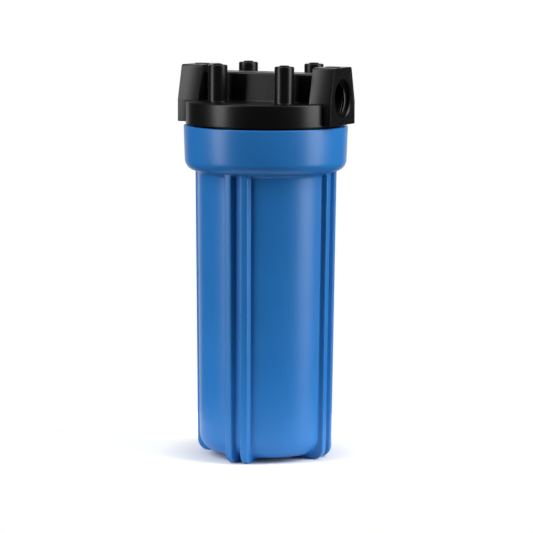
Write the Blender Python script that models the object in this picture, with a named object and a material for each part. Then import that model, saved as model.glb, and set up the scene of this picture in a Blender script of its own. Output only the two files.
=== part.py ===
"""Cartridge filter housing: black threaded head, blue ribbed sump and a 9-3/4 inch cartridge.

Metres, +Z up.  The origin is on the floor under the middle of the sump.  The pipe ports lie
along X; the inlet is on +X and the outlet on -X.
"""
import math

import bmesh
import bpy
from mathutils import Matrix, Vector

# ---------------------------------------------------------------- driving dimensions
GAP = 0.0003                  # clearance left between pieces that touch
ROUND_SIDES = 32              # sides of every large turned surface
SMALL_SIDES = 16              # sides of small turned surfaces

# sump
COLLAR_ABOVE_CARTRIDGE = 0.00355
COLLAR_WALL = 0.0057
COLLAR_TAPER = 0.0009         # radius lost from the collar's top to its lower rounding
COLLAR_LENGTH = 0.0265        # straight part of the collar
COLLAR_ROUNDING = 0.0092
COLLAR_EDGE = 0.0006
COLLAR_CHAMFER = 0.0010       # lead-in at the top of the thread bore
BODY_FILLET = 0.0030
BODY_TAPER = 0.0019           # radius lost from the body's top to its foot
WATER_GAP = 0.01785           # cartridge to the inside of the sump
SUMP_WALL = 0.0040
UNDERSIDE_HEIGHT = 0.0030
FLOOR_THICKNESS = 0.0050
BODY_CORNER = 0.0150
RIB_TOP_DEPTH = 0.0042
RIB_FOOT_DEPTH = 0.0034
RIB_TIP_WIDTH = 0.0056
RIB_ROOT_WIDTH = 0.0090
RIB_FOOT_ROUNDING = 0.0090
RIB_FOOT_REACH = 0.0080       # how far the rib's foot runs in under the floor
RIB_TOP_SINK = 0.0020         # how far the rib's top runs into the collar
RIB_SINK_PART = 0.75          # how far a rib runs into the wall or floor, as part of it
RIB_PAIRS = 4
RIB_PAIR_ANGLE = math.radians(13.72)
SUMP_CLOCKING = math.radians(2.2)

# screw joint between head and sump
THREAD_ROOT_SETBACK = 0.00465  # O-ring's mean radius to the root of the head's thread
THREAD_CLEARANCE = 0.0023     # root of the head's thread to the sump's thread bore
THREAD_HEIGHT_MALE = 0.0016
THREAD_HEIGHT_FEMALE = 0.0018
THREAD_PITCH = 0.0060
THREAD_TURNS = 2.0
THREAD_BASE_WIDTH = 0.0024
THREAD_CREST_WIDTH = 0.0012
THREAD_START = 0.0240         # first male turn, below the collar's top
THREAD_SINK = 0.0006          # how far a thread ridge runs into its wall
ORING_SETBACK = 0.00275       # inside of the sump to the O-ring's mean radius
ORING_SECTION = 0.00353
ORING_GROOVE_DEPTH = 0.0029
LEDGE_DEPTH = 0.0299          # collar top to the O-ring ledge

# head
RING_SETBACK = 0.0015         # collar to the head's ring
RING_HEIGHT = 0.0180
RING_CLEARANCE = 0.0012       # collar top to the underside of the ring
RING_EDGE = 0.0007
SKIRT_CLEARANCE = 0.0006      # inside of the sump to the inside of the skirt
PLATE_THICKNESS = 0.0126
ROOF_FILLET = 0.0040
PORT_REACH = 0.0033           # port face beyond the ring
BOSS_LENGTH = 0.0188
BOSS_WALL = 0.0095            # thread bore to the boss's upright side
BOSS_TOP_WALL = 0.0028        # thread bore to the side of the boss's top
BOSS_LIFT = 0.0009            # underside of the boss above the underside of the ring
BOSS_BREAK = 0.0005           # flank break above the ring's top
BOSS_CROWN = 0.0111           # thread bore to the boss's top
BOSS_EDGE = 0.0012
BOX_WIDTH = 0.0270
BOX_TOP_WIDTH = 0.0248
BOX_CROWN = 0.0108            # channel to the centre box's top
HEAD_SINK = 0.0030            # how far raised parts run into the plate or the bosses
POST_RADIUS = 0.0077
POST_TOP = 0.0288             # post top above the ring's top
POST_SPACING_X = 0.0580
POST_SPACING_Y = 0.0542
POST_EDGE = 0.0008
POST_SCREW_RADIUS = 0.00275
POST_SCREW_DEPTH = 0.0220
POST_RIM_RADIUS = 0.0043
POST_RIM_HEIGHT = 0.0008
POST_RIM_EDGE = 0.0008
ARROW_LENGTH = 0.0120
ARROW_WIDTH = 0.0090
ARROW_HEIGHT = 0.0006
ARROW_HEAD_PART = 0.55        # arrow length from its tail to its head
ARROW_SHAFT_PART = 0.45       # shaft width as part of the arrow's width

# ports and channels
PORT_FLOOR = 0.0027           # roof of the chamber to the thread bore
PORT_RADIUS = 0.0133          # 3/4 inch pipe thread
PORT_TAPER = 1.0 / 32.0       # radius lost for each unit of depth
PORT_DEPTH = 0.0180
PORT_MOUTH_RIM = 0.00235      # thread bore to the edge of the port's mouth
PORT_MOUTH_CHAMFER = 0.0010
PORT_MOUTH_DEPTH = 0.0030
CHANNEL_RADIUS = 0.0085
INLET_DROP_RADIUS = 0.0070
INLET_DROP_SETBACK = 0.00825  # cartridge to the middle of the inlet's drop
RISER_PART = 0.94             # riser radius as part of the channel's
STANDPIPE_WALL = 0.0040
KNIFE_EDGE_WIDTH = 0.0012
KNIFE_EDGE_LENGTH = 0.0045

# pressure relief valve
RELIEF_POCKET_RADIUS = 0.0060
RELIEF_POCKET_DEPTH = 0.0070
RELIEF_BUTTON_CLEARANCE = 0.0004
RELIEF_BUTTON_THICKNESS = 0.0025
RELIEF_BUTTON_PROUD = 0.0003
RELIEF_BUTTON_EDGE = 0.0005
RELIEF_STEM_RADIUS = 0.0017
RELIEF_STEM_CLEARANCE = 0.0005
RELIEF_SEAT_RADIUS = 0.0060
RELIEF_SEAT_DROP = 0.0013
RELIEF_SEAL_RADIUS = 0.0036
RELIEF_SEAL_SECTION = 0.0014
RELIEF_RETAINER_RADIUS = 0.0048
RELIEF_RETAINER_THICKNESS = 0.0013
RELIEF_BARB_RADIUS = 0.0027
RELIEF_BARB_LENGTH = 0.0008
SPRING_RADIUS = 0.0036
SPRING_WIRE = 0.0005
SPRING_COILS = 3.5

# cartridge
CARTRIDGE_LENGTH = 0.24765    # 9-3/4 inch
CARTRIDGE_RADIUS = 0.03175
CORE_RADIUS = 0.0150
CORE_WALL = 0.0018
GASKET_SETBACK = 0.0013       # end cap's bore to the gasket's
GASKET_WIDTH = 0.0072
GASKET_THICKNESS = 0.0030
CAP_FLOOR = 0.0030
CAP_RIM = 0.0100
CAP_WALL = 0.0014
CAP_TUBE_STEP = 0.0020        # end cap's tube stops this far short of its rim
NET_WALL = 0.0007
PLEATS = 36
PLEAT_SHELL = 0.0016
CORE_SLOT_ROWS = 4
CORE_SLOTS = 4
CORE_SLOT_MARGIN = 0.0040     # end cap rims to the first and last slots
CORE_SLOT_WIDTH = 0.0070
CORE_SLOT_PART = 0.68         # part of each row that the slot takes up
SEAT_RING_WIDTH = 0.0024
SEAT_HEIGHT = 0.0039          # knife-edge seat above the sump floor
SPIGOT_CLEARANCE = 0.0010
SPIGOT_WALL = 0.0020
SPIGOT_HEIGHT = 0.0160

OVERCUT = 0.0010              # how far a cutter runs past the face it opens

# ---------------------------------------------------------------- radii worked out from them
INNER_TOP_RADIUS = CARTRIDGE_RADIUS + WATER_GAP
BODY_TOP_RADIUS = INNER_TOP_RADIUS + SUMP_WALL
BODY_FOOT_RADIUS = BODY_TOP_RADIUS - BODY_TAPER
INNER_FOOT_RADIUS = BODY_FOOT_RADIUS - SUMP_WALL
RIB_TIP_TOP_RADIUS = BODY_TOP_RADIUS + RIB_TOP_DEPTH
RIB_TIP_FOOT_RADIUS = BODY_FOOT_RADIUS + RIB_FOOT_DEPTH
ORING_MEAN_RADIUS = INNER_TOP_RADIUS + ORING_SETBACK
SKIRT_BORE_RADIUS = INNER_TOP_RADIUS + SKIRT_CLEARANCE
THREAD_ROOT_RADIUS = ORING_MEAN_RADIUS + THREAD_ROOT_SETBACK
THREAD_BORE_RADIUS = THREAD_ROOT_RADIUS + THREAD_CLEARANCE
COLLAR_RADIUS = THREAD_BORE_RADIUS + COLLAR_WALL
COLLAR_FOOT_RADIUS = COLLAR_RADIUS - COLLAR_TAPER
RING_RADIUS = COLLAR_RADIUS - RING_SETBACK
PORT_FACE = RING_RADIUS + PORT_REACH
PORT_MOUTH_RADIUS = PORT_RADIUS + PORT_MOUTH_RIM
BOSS_HALF_WIDTH = PORT_RADIUS + BOSS_WALL
BOSS_TOP_HALF_WIDTH = PORT_RADIUS + BOSS_TOP_WALL
INLET_DROP_OFFSET = CARTRIDGE_RADIUS + INLET_DROP_SETBACK
END_CAP_BORE = CORE_RADIUS - CORE_WALL - GAP - CAP_WALL
SPIGOT_RADIUS = END_CAP_BORE - SPIGOT_CLEARANCE
GASKET_INNER_RADIUS = END_CAP_BORE + GASKET_SETBACK
GASKET_OUTER_RADIUS = GASKET_INNER_RADIUS + GASKET_WIDTH
SEAT_RADIUS = (GASKET_INNER_RADIUS + GASKET_OUTER_RADIUS) / 2

# ---------------------------------------------------------------- heights worked out from them
SUMP_FLOOR = UNDERSIDE_HEIGHT + FLOOR_THICKNESS
CARTRIDGE_BOTTOM = SUMP_FLOOR + SEAT_HEIGHT + GAP
CARTRIDGE_TOP = CARTRIDGE_BOTTOM + CARTRIDGE_LENGTH
SUMP_HEIGHT = CARTRIDGE_TOP + COLLAR_ABOVE_CARTRIDGE
LEDGE = SUMP_HEIGHT - LEDGE_DEPTH
GROOVE_FLOOR = LEDGE - ORING_GROOVE_DEPTH
ORING_CENTRE = GROOVE_FLOOR + GAP + ORING_SECTION / 2
SKIRT_BOTTOM = GROOVE_FLOOR + ORING_SECTION + 2 * GAP
COLLAR_FOOT = SUMP_HEIGHT - COLLAR_LENGTH
RING_BOTTOM = SUMP_HEIGHT + RING_CLEARANCE
RING_TOP = RING_BOTTOM + RING_HEIGHT
ROOF = RING_TOP - PLATE_THICKNESS
PORT_AXIS = ROOF + PORT_FLOOR + PORT_RADIUS
BOSS_TOP_HEIGHT = PORT_AXIS + PORT_RADIUS + BOSS_CROWN
CHANNEL_TOP = PORT_AXIS + CHANNEL_RADIUS
BOX_TOP_HEIGHT = CHANNEL_TOP + BOX_CROWN
RELIEF_SEAT = CHANNEL_TOP - RELIEF_SEAT_DROP
POCKET_FLOOR = BOX_TOP_HEIGHT - RELIEF_POCKET_DEPTH
BUTTON_TOP = BOX_TOP_HEIGHT + RELIEF_BUTTON_PROUD
BUTTON_UNDERSIDE = BUTTON_TOP - RELIEF_BUTTON_THICKNESS
SEAL_CENTRE = RELIEF_SEAT - GAP - RELIEF_SEAL_SECTION / 2
RETAINER_TOP = SEAL_CENTRE - RELIEF_SEAL_SECTION / 2 - GAP
BARB_TOP = RETAINER_TOP - RELIEF_RETAINER_THICKNESS - GAP


# ---------------------------------------------------------------- helpers
def clear_scene():
    for obj in list(bpy.data.objects):
        bpy.data.objects.remove(obj, do_unlink=True)


def material(name, colour, roughness, metallic=0.0):
    mat = bpy.data.materials.new(name)
    mat.use_nodes = True
    shader = mat.node_tree.nodes["Principled BSDF"]
    shader.inputs["Base Color"].default_value = (*colour, 1.0)
    shader.inputs["Roughness"].default_value = roughness
    shader.inputs["Metallic"].default_value = metallic
    return mat


def add_object(name, bm, mat=None, cutter=False):
    """Turn a bmesh into a named object, its faces pointing out."""
    bmesh.ops.remove_doubles(bm, verts=bm.verts, dist=1e-7)
    bmesh.ops.recalc_face_normals(bm, faces=bm.faces)
    mesh = bpy.data.meshes.new(name)
    bm.to_mesh(mesh)
    bm.free()
    mesh.shade_smooth()
    mesh.set_sharp_from_angle(angle=math.radians(35))
    obj = bpy.data.objects.new(name, mesh)
    bpy.context.scene.collection.objects.link(obj)
    if mat:
        mesh.materials.append(mat)
    if cutter:
        obj.hide_render = True
        obj.display_type = "WIRE"
    return obj


def arc(centre, radius, start, end, steps):
    """Points of a circular arc in the section plane; angles in degrees."""
    points = []
    for i in range(steps + 1):
        angle = math.radians(start + (end - start) * i / steps)
        points.append((centre[0] + radius * math.cos(angle), centre[1] + radius * math.sin(angle)))
    return points


def turned(profile, sides=ROUND_SIDES):
    """Spin a closed section of (radius, height) points about Z."""
    bm = bmesh.new()
    verts = [bm.verts.new((radius, 0.0, height)) for radius, height in profile]
    edges = [bm.edges.new((a, b)) for a, b in zip(verts, verts[1:] + verts[:1])
             if max(abs(a.co.x), abs(b.co.x)) > 1e-9]
    bmesh.ops.spin(bm, geom=verts + edges, cent=(0, 0, 0), axis=(0, 0, 1),
                   angle=2 * math.pi, steps=sides, use_merge=True)
    bmesh.ops.remove_doubles(bm, verts=bm.verts, dist=1e-7)
    bmesh.ops.dissolve_degenerate(bm, edges=bm.edges, dist=1e-7)
    return bm


def move(bm, x=0.0, y=0.0, z=0.0):
    bmesh.ops.translate(bm, verts=bm.verts, vec=(x, y, z))
    return bm


def lay_along_x(bm, side):
    """Lay a piece made about Z along +X (side 1) or -X (side -1)."""
    bmesh.ops.rotate(bm, verts=bm.verts, cent=(0, 0, 0),
                     matrix=Matrix.Rotation(side * math.pi / 2, 3, "Y"))
    return bm


def prism(outline, plane, start, end):
    """Extrude an outline: plane "yz" runs along X and plane "xy" runs along Z."""
    bm = bmesh.new()
    if plane == "yz":
        verts = [bm.verts.new((start, a, b)) for a, b in outline]
        offset = Vector((end - start, 0, 0))
    else:
        verts = [bm.verts.new((a, b, start)) for a, b in outline]
        offset = Vector((0, 0, end - start))
    face = bm.faces.new(verts)
    top = bmesh.ops.extrude_face_region(bm, geom=[face])
    moved = [item for item in top["geom"] if isinstance(item, bmesh.types.BMVert)]
    bmesh.ops.translate(bm, verts=moved, vec=offset)
    return bm


def swept(points, section):
    """A closed tube through points; section(frame index) gives each ring's corner points."""
    bm = bmesh.new()
    rings = [[bm.verts.new(co) for co in section(i)] for i in range(points)]
    for ring, following in zip(rings, rings[1:]):
        for j in range(len(ring)):
            k = (j + 1) % len(ring)
            bm.faces.new((ring[j], ring[k], following[k], following[j]))
    bm.faces.new(rings[0])
    bm.faces.new(rings[-1])
    return bm


def boolean(target, tools, operation):
    for tool in tools:
        modifier = target.modifiers.new(operation.lower(), "BOOLEAN")
        modifier.operation = operation
        modifier.object = tool
        modifier.solver = "EXACT"


def cutter(name, bm):
    return add_object(name, bm, cutter=True)


# ---------------------------------------------------------------- screw thread
def thread_ridge(root_radius, height, first_turn, outward):
    """A helical ridge, right-handed, sunk a little into the wall that carries it."""
    per_turn = ROUND_SIDES
    count = int(THREAD_TURNS * per_turn) + 1
    direction = 1 if outward else -1
    base = root_radius - direction * THREAD_SINK
    crest = root_radius + direction * height

    def section(i):
        angle = 2 * math.pi * i / per_turn
        rise = first_turn + THREAD_PITCH * i / per_turn
        ramp = min(1.0, i / 4, (count - 1 - i) / 4)
        top = root_radius + (crest - root_radius) * max(ramp, 0.1)
        corners = ((base, -THREAD_BASE_WIDTH / 2), (top, -THREAD_CREST_WIDTH / 2),
                   (top, THREAD_CREST_WIDTH / 2), (base, THREAD_BASE_WIDTH / 2))
        return [(r * math.cos(angle), r * math.sin(angle), rise + dz) for r, dz in corners]

    return swept(count, section)


# ---------------------------------------------------------------- sump
def sump_profile():
    arc_centre = (COLLAR_FOOT_RADIUS - COLLAR_ROUNDING, COLLAR_FOOT)
    fillet_x = BODY_TOP_RADIUS + BODY_FILLET
    reach = COLLAR_ROUNDING + BODY_FILLET
    drop = math.sqrt(reach ** 2 - (fillet_x - arc_centre[0]) ** 2)
    meet = math.degrees(math.atan2(-drop, fillet_x - arc_centre[0]))
    fillet_centre = (fillet_x, COLLAR_FOOT - drop)
    corner = (BODY_FOOT_RADIUS - BODY_CORNER, UNDERSIDE_HEIGHT + BODY_CORNER)
    inner_corner = BODY_CORNER - SUMP_WALL
    inner_centre = (INNER_FOOT_RADIUS - inner_corner, SUMP_FLOOR + inner_corner)
    seat_outer = SEAT_RADIUS + SEAT_RING_WIDTH / 2
    seat_inner = SEAT_RADIUS - SEAT_RING_WIDTH / 2
    half_knife = KNIFE_EDGE_WIDTH / 2
    outside = [(THREAD_BORE_RADIUS + COLLAR_CHAMFER, SUMP_HEIGHT), (COLLAR_RADIUS - COLLAR_EDGE, SUMP_HEIGHT),
               (COLLAR_RADIUS, SUMP_HEIGHT - COLLAR_EDGE)]
    outside += arc(arc_centre, COLLAR_ROUNDING, 0, meet, 4)
    outside += arc(fillet_centre, BODY_FILLET, meet + 180, 180, 2)[1:]
    outside += arc(corner, BODY_CORNER, 0, -90, 4)
    inside = [(0.0, UNDERSIDE_HEIGHT), (0.0, SUMP_FLOOR), (SPIGOT_RADIUS - SPIGOT_WALL, SUMP_FLOOR),
              (SPIGOT_RADIUS - SPIGOT_WALL, SUMP_FLOOR + SPIGOT_HEIGHT),
              (SPIGOT_RADIUS, SUMP_FLOOR + SPIGOT_HEIGHT), (SPIGOT_RADIUS, SUMP_FLOOR),
              (seat_inner, SUMP_FLOOR), (SEAT_RADIUS - half_knife, SUMP_FLOOR + SEAT_HEIGHT),
              (SEAT_RADIUS + half_knife, SUMP_FLOOR + SEAT_HEIGHT), (seat_outer, SUMP_FLOOR)]
    inside += arc(inner_centre, inner_corner, -90, 0, 3)
    half_groove = ORING_SECTION / 2 + GAP
    inside += [(INNER_TOP_RADIUS, GROOVE_FLOOR - SUMP_WALL), (INNER_TOP_RADIUS, LEDGE),
               (ORING_MEAN_RADIUS - half_groove, LEDGE), (ORING_MEAN_RADIUS - half_groove, GROOVE_FLOOR),
               (ORING_MEAN_RADIUS + half_groove, GROOVE_FLOOR), (ORING_MEAN_RADIUS + half_groove, LEDGE),
               (THREAD_BORE_RADIUS, LEDGE), (THREAD_BORE_RADIUS, SUMP_HEIGHT - COLLAR_CHAMFER)]
    return outside + inside


def rib_angles():
    angles = []
    for pair in range(RIB_PAIRS):
        middle = SUMP_CLOCKING + 2 * math.pi * pair / RIB_PAIRS
        angles += [middle - RIB_PAIR_ANGLE / 2, middle + RIB_PAIR_ANGLE / 2]
    return angles


def rib(angle):
    """One stiffening rib: a tapered wedge from under the collar down to its foot."""
    root = BODY_TOP_RADIUS - SUMP_WALL * RIB_SINK_PART
    root_foot = INNER_FOOT_RADIUS - RIB_FOOT_REACH
    inner_foot = root_foot - SUMP_WALL
    top = COLLAR_FOOT - COLLAR_ROUNDING + RIB_TOP_SINK
    taper = (RIB_TIP_TOP_RADIUS - RIB_TIP_FOOT_RADIUS) / top
    tip_at_foot = RIB_TIP_FOOT_RADIUS + taper * RIB_FOOT_ROUNDING
    foot = arc((tip_at_foot - RIB_FOOT_ROUNDING, RIB_FOOT_ROUNDING), RIB_FOOT_ROUNDING, 0, -90, 4)
    outline = [(root, top), (RIB_TIP_TOP_RADIUS, top)] + foot
    outline += [(inner_foot, 0.0), (inner_foot, UNDERSIDE_HEIGHT + OVERCUT),
                (root_foot, UNDERSIDE_HEIGHT + FLOOR_THICKNESS * RIB_SINK_PART), (root, BODY_CORNER)]
    bm = bmesh.new()
    sides = []
    for sign in (-1, 1):
        ring = []
        for radius, height in outline:
            tip = RIB_TIP_FOOT_RADIUS + taper * height
            depth = min(max((tip - radius) / (RIB_TIP_TOP_RADIUS - BODY_TOP_RADIUS), 0.0), 1.0)
            half = (RIB_TIP_WIDTH + (RIB_ROOT_WIDTH - RIB_TIP_WIDTH) * depth) / 2
            ring.append(bm.verts.new((radius, sign * half, height)))
        sides.append(ring)
    for i in range(len(outline)):
        j = (i + 1) % len(outline)
        bm.faces.new((sides[0][i], sides[0][j], sides[1][j], sides[1][i]))
    for ring in sides:
        face = bm.faces.new(ring)
        bmesh.ops.triangulate(bm, faces=[face])
    bmesh.ops.rotate(bm, verts=bm.verts, cent=(0, 0, 0), matrix=Matrix.Rotation(angle, 3, "Z"))
    return bm


def make_sump(plastic):
    sump = add_object("sump", turned(sump_profile()), plastic)
    ribs = [cutter(f"rib_{i}", rib(angle)) for i, angle in enumerate(rib_angles())]
    first = SUMP_HEIGHT - THREAD_START + THREAD_PITCH / 2
    ridge = cutter("sump_thread", thread_ridge(THREAD_BORE_RADIUS, THREAD_HEIGHT_FEMALE, first, False))
    boolean(sump, ribs + [ridge], "UNION")
    return sump


def make_oring(rubber):
    section = arc((ORING_MEAN_RADIUS, ORING_CENTRE), ORING_SECTION / 2, 0, 315, 7)
    return add_object("sump_oring", turned(section), rubber)


# ---------------------------------------------------------------- head
def head_profile():
    half_knife, half_wall = KNIFE_EDGE_WIDTH / 2, STANDPIPE_WALL / 2
    knife_top = CARTRIDGE_TOP + GAP + KNIFE_EDGE_LENGTH
    profile = [(CHANNEL_RADIUS, RING_TOP), (CHANNEL_RADIUS, ROOF + 0.0020),
               (SEAT_RADIUS - half_wall, ROOF - 0.0020), (SEAT_RADIUS - half_wall, knife_top),
               (SEAT_RADIUS - half_knife, CARTRIDGE_TOP + GAP),
               (SEAT_RADIUS + half_knife, CARTRIDGE_TOP + GAP),
               (SEAT_RADIUS + half_wall, knife_top), (SEAT_RADIUS + half_wall, ROOF)]
    profile += arc((SKIRT_BORE_RADIUS - ROOF_FILLET, ROOF - ROOF_FILLET), ROOF_FILLET, 90, 0, 3)
    profile += [(SKIRT_BORE_RADIUS, SKIRT_BOTTOM), (THREAD_ROOT_RADIUS - RING_EDGE, SKIRT_BOTTOM),
                (THREAD_ROOT_RADIUS, SKIRT_BOTTOM + RING_EDGE), (THREAD_ROOT_RADIUS, RING_BOTTOM),
                (RING_RADIUS - RING_EDGE, RING_BOTTOM), (RING_RADIUS, RING_BOTTOM + RING_EDGE),
                (RING_RADIUS, RING_TOP - RING_EDGE), (RING_RADIUS - RING_EDGE, RING_TOP)]
    return profile


def boss_outline():
    """Cross-section of a port boss: upright sides below, leaning flanks above."""
    half, top_half, top = BOSS_HALF_WIDTH, BOSS_TOP_HALF_WIDTH, BOSS_TOP_HEIGHT
    lean = (half - top_half) / (top - RING_TOP) * BOSS_EDGE
    right = [(half, RING_BOTTOM + BOSS_LIFT), (half, RING_TOP + BOSS_BREAK),
             (top_half + lean, top - BOSS_EDGE), (top_half - BOSS_EDGE, top)]
    return right + [(-y, z) for y, z in reversed(right)]


def arrow_outline(tail):
    half = ARROW_WIDTH / 2
    shaft = half * ARROW_SHAFT_PART
    neck = tail - ARROW_LENGTH * ARROW_HEAD_PART
    tip = tail - ARROW_LENGTH
    return [(tail, -shaft), (tail, shaft), (neck, shaft), (neck, half), (tip, 0), (neck, -half),
            (neck, -shaft)]


def post():
    """A bracket post with its blind screw hole and the low rim round the hole."""
    base, top = RING_TOP - HEAD_SINK, RING_TOP + POST_TOP
    rim = top + POST_RIM_HEIGHT
    profile = [(0, base), (POST_RADIUS, base), (POST_RADIUS, top - POST_EDGE), (POST_RADIUS - POST_EDGE, top),
               (POST_RIM_RADIUS, top), (POST_RIM_RADIUS - POST_RIM_EDGE, rim), (POST_SCREW_RADIUS, rim),
               (POST_SCREW_RADIUS, rim - POST_SCREW_DEPTH), (0, rim - POST_SCREW_DEPTH)]
    return turned(profile, SMALL_SIDES)


def rod(radius, start, end, sides=SMALL_SIDES):
    return turned([(0, start), (radius, start), (radius, end), (0, end)], sides)


def waterway(length):
    """Mouth, tapered thread bore and channel in one, made about Z from the port face down."""
    bore_end = PORT_RADIUS - PORT_TAPER * PORT_DEPTH
    mouth = PORT_MOUTH_RADIUS - PORT_MOUTH_CHAMFER
    profile = [(0, OVERCUT), (PORT_MOUTH_RADIUS, OVERCUT), (PORT_MOUTH_RADIUS, 0),
               (mouth, -PORT_MOUTH_CHAMFER), (mouth, -PORT_MOUTH_DEPTH),
               (PORT_RADIUS, -PORT_MOUTH_DEPTH), (bore_end, -PORT_DEPTH), (CHANNEL_RADIUS, -PORT_DEPTH),
               (CHANNEL_RADIUS, -length), (0, -length)]
    return turned(profile, SMALL_SIDES)


def make_head(plastic):
    head = add_object("head", turned(head_profile()), plastic)
    additions = []
    first = SUMP_HEIGHT - THREAD_START
    additions.append(cutter("head_thread", thread_ridge(THREAD_ROOT_RADIUS, THREAD_HEIGHT_MALE, first, True)))
    half, top_half = BOX_WIDTH / 2, BOX_TOP_WIDTH / 2
    box = [(half, RING_TOP - HEAD_SINK), (top_half, BOX_TOP_HEIGHT), (-top_half, BOX_TOP_HEIGHT),
           (-half, RING_TOP - HEAD_SINK)]
    reach = PORT_FACE - BOSS_LENGTH + HEAD_SINK
    additions.append(cutter("centre_box", prism(box, "yz", -reach, reach)))
    arrow_middle = PORT_FACE - BOSS_LENGTH / 2
    for side in (1, -1):
        start, end = sorted((side * (PORT_FACE - BOSS_LENGTH), side * PORT_FACE))
        additions.append(cutter(f"boss_{side}", prism(boss_outline(), "yz", start, end)))
        tail = side * arrow_middle + ARROW_LENGTH / 2
        arrow = prism(arrow_outline(tail), "xy", BOSS_TOP_HEIGHT - OVERCUT, BOSS_TOP_HEIGHT + ARROW_HEIGHT)
        additions.append(cutter(f"flow_arrow_{side}", arrow))
    places = [(sx * POST_SPACING_X / 2, sy * POST_SPACING_Y / 2) for sx in (1, -1) for sy in (1, -1)]
    for i, (x, y) in enumerate(places):
        additions.append(cutter(f"post_{i}", move(post(), x, y)))
    boolean(head, additions, "UNION")

    cuts = []
    ends = {1: ("inlet", INLET_DROP_OFFSET - INLET_DROP_RADIUS), -1: ("outlet", CHANNEL_RADIUS)}
    inlet_length = PORT_FACE - ends[1][1]
    outlet_length = PORT_FACE + ends[-1][1]
    for side, length in ((1, inlet_length), (-1, outlet_length)):
        bore = lay_along_x(waterway(length), side)
        cuts.append(cutter(f"{ends[side][0]}_waterway", move(bore, side * PORT_FACE, 0, PORT_AXIS)))
    drop = rod(INLET_DROP_RADIUS, ROOF - 2 * OVERCUT, PORT_AXIS)
    cuts.append(cutter("inlet_drop", move(drop, INLET_DROP_OFFSET)))
    cuts.append(cutter("outlet_riser", rod(CHANNEL_RADIUS * RISER_PART, ROOF - OVERCUT, PORT_AXIS)))
    boolean(head, cuts, "DIFFERENCE")

    seat = cutter("relief_seat", rod(RELIEF_SEAT_RADIUS, RELIEF_SEAT, CHANNEL_TOP + OVERCUT))
    boolean(head, [seat], "UNION")
    pocket = rod(RELIEF_POCKET_RADIUS, POCKET_FLOOR, BOX_TOP_HEIGHT + OVERCUT)
    stem_radius = RELIEF_STEM_RADIUS + RELIEF_STEM_CLEARANCE
    stem_hole = rod(stem_radius, RELIEF_SEAT - OVERCUT, POCKET_FLOOR + OVERCUT)
    boolean(head, [cutter("relief_pocket", pocket), cutter("relief_stem_hole", stem_hole)], "DIFFERENCE")
    return head


# ---------------------------------------------------------------- pressure relief valve
def make_relief_button(plastic):
    radius = RELIEF_POCKET_RADIUS - RELIEF_BUTTON_CLEARANCE
    profile = [(0, BUTTON_TOP), (0, BARB_TOP - RELIEF_BARB_LENGTH),
               (RELIEF_STEM_RADIUS, BARB_TOP - RELIEF_BARB_LENGTH), (RELIEF_BARB_RADIUS, BARB_TOP),
               (RELIEF_STEM_RADIUS, BARB_TOP), (RELIEF_STEM_RADIUS, BUTTON_UNDERSIDE),
               (radius, BUTTON_UNDERSIDE), (radius, BUTTON_TOP - RELIEF_BUTTON_EDGE),
               (radius - RELIEF_BUTTON_EDGE, BUTTON_TOP)]
    return add_object("relief_button", turned(profile, SMALL_SIDES), plastic)


def make_relief_spring(steel):
    low = POCKET_FLOOR + GAP + SPRING_WIRE / 2
    high = BUTTON_UNDERSIDE - GAP - SPRING_WIRE / 2
    per_coil = 16
    wire_sides = 6
    count = int(SPRING_COILS * per_coil) + 1

    def section(i):
        angle = 2 * math.pi * i / per_coil
        height = low + (high - low) * i / (count - 1)
        ring = []
        for j in range(wire_sides):
            turn = 2 * math.pi * j / wire_sides
            radius = SPRING_RADIUS + SPRING_WIRE / 2 * math.cos(turn)
            ring.append((radius * math.cos(angle), radius * math.sin(angle),
                         height + SPRING_WIRE / 2 * math.sin(turn)))
        return ring

    return add_object("relief_spring", swept(count, section), steel)


def make_relief_seal(rubber):
    section = arc((RELIEF_SEAL_RADIUS, SEAL_CENTRE), RELIEF_SEAL_SECTION / 2, 0, 300, 5)
    return add_object("relief_seal", turned(section, SMALL_SIDES), rubber)


def make_relief_retainer(plastic):
    bore = RELIEF_STEM_RADIUS + GAP
    low = RETAINER_TOP - RELIEF_RETAINER_THICKNESS
    profile = [(bore, low), (RELIEF_RETAINER_RADIUS, low), (RELIEF_RETAINER_RADIUS, RETAINER_TOP),
               (bore, RETAINER_TOP)]
    return add_object("relief_retainer", turned(profile, SMALL_SIDES), plastic)


# ---------------------------------------------------------------- cartridge
def from_end(end, distance):
    """Height of a point at a distance in from the cartridge's top (1) or bottom (-1) end."""
    return CARTRIDGE_TOP - distance if end > 0 else CARTRIDGE_BOTTOM + distance


def make_gasket(name, end, rubber):
    near, far = from_end(end, 0), from_end(end, GASKET_THICKNESS)
    profile = [(GASKET_INNER_RADIUS, near), (GASKET_OUTER_RADIUS, near), (GASKET_OUTER_RADIUS, far),
               (GASKET_INNER_RADIUS, far)]
    return add_object(name, turned(profile), rubber)


def make_end_cap(name, end, plastic):
    """A shallow cup over the end of the media, with a tube that steps into the core."""
    face = GASKET_THICKNESS + GAP
    floor = face + CAP_FLOOR
    rim = floor + CAP_RIM
    inner = END_CAP_BORE + CAP_WALL
    points = [(END_CAP_BORE, face), (CARTRIDGE_RADIUS, face), (CARTRIDGE_RADIUS, rim),
              (CARTRIDGE_RADIUS - CAP_WALL, rim), (CARTRIDGE_RADIUS - CAP_WALL, floor), (inner, floor),
              (inner, rim - CAP_TUBE_STEP), (END_CAP_BORE, rim - CAP_TUBE_STEP)]
    return add_object(name, turned([(r, from_end(end, d)) for r, d in points]), plastic)


def media_ends():
    inset = GASKET_THICKNESS + CAP_FLOOR + 2 * GAP
    return CARTRIDGE_BOTTOM + inset, CARTRIDGE_TOP - inset


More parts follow.
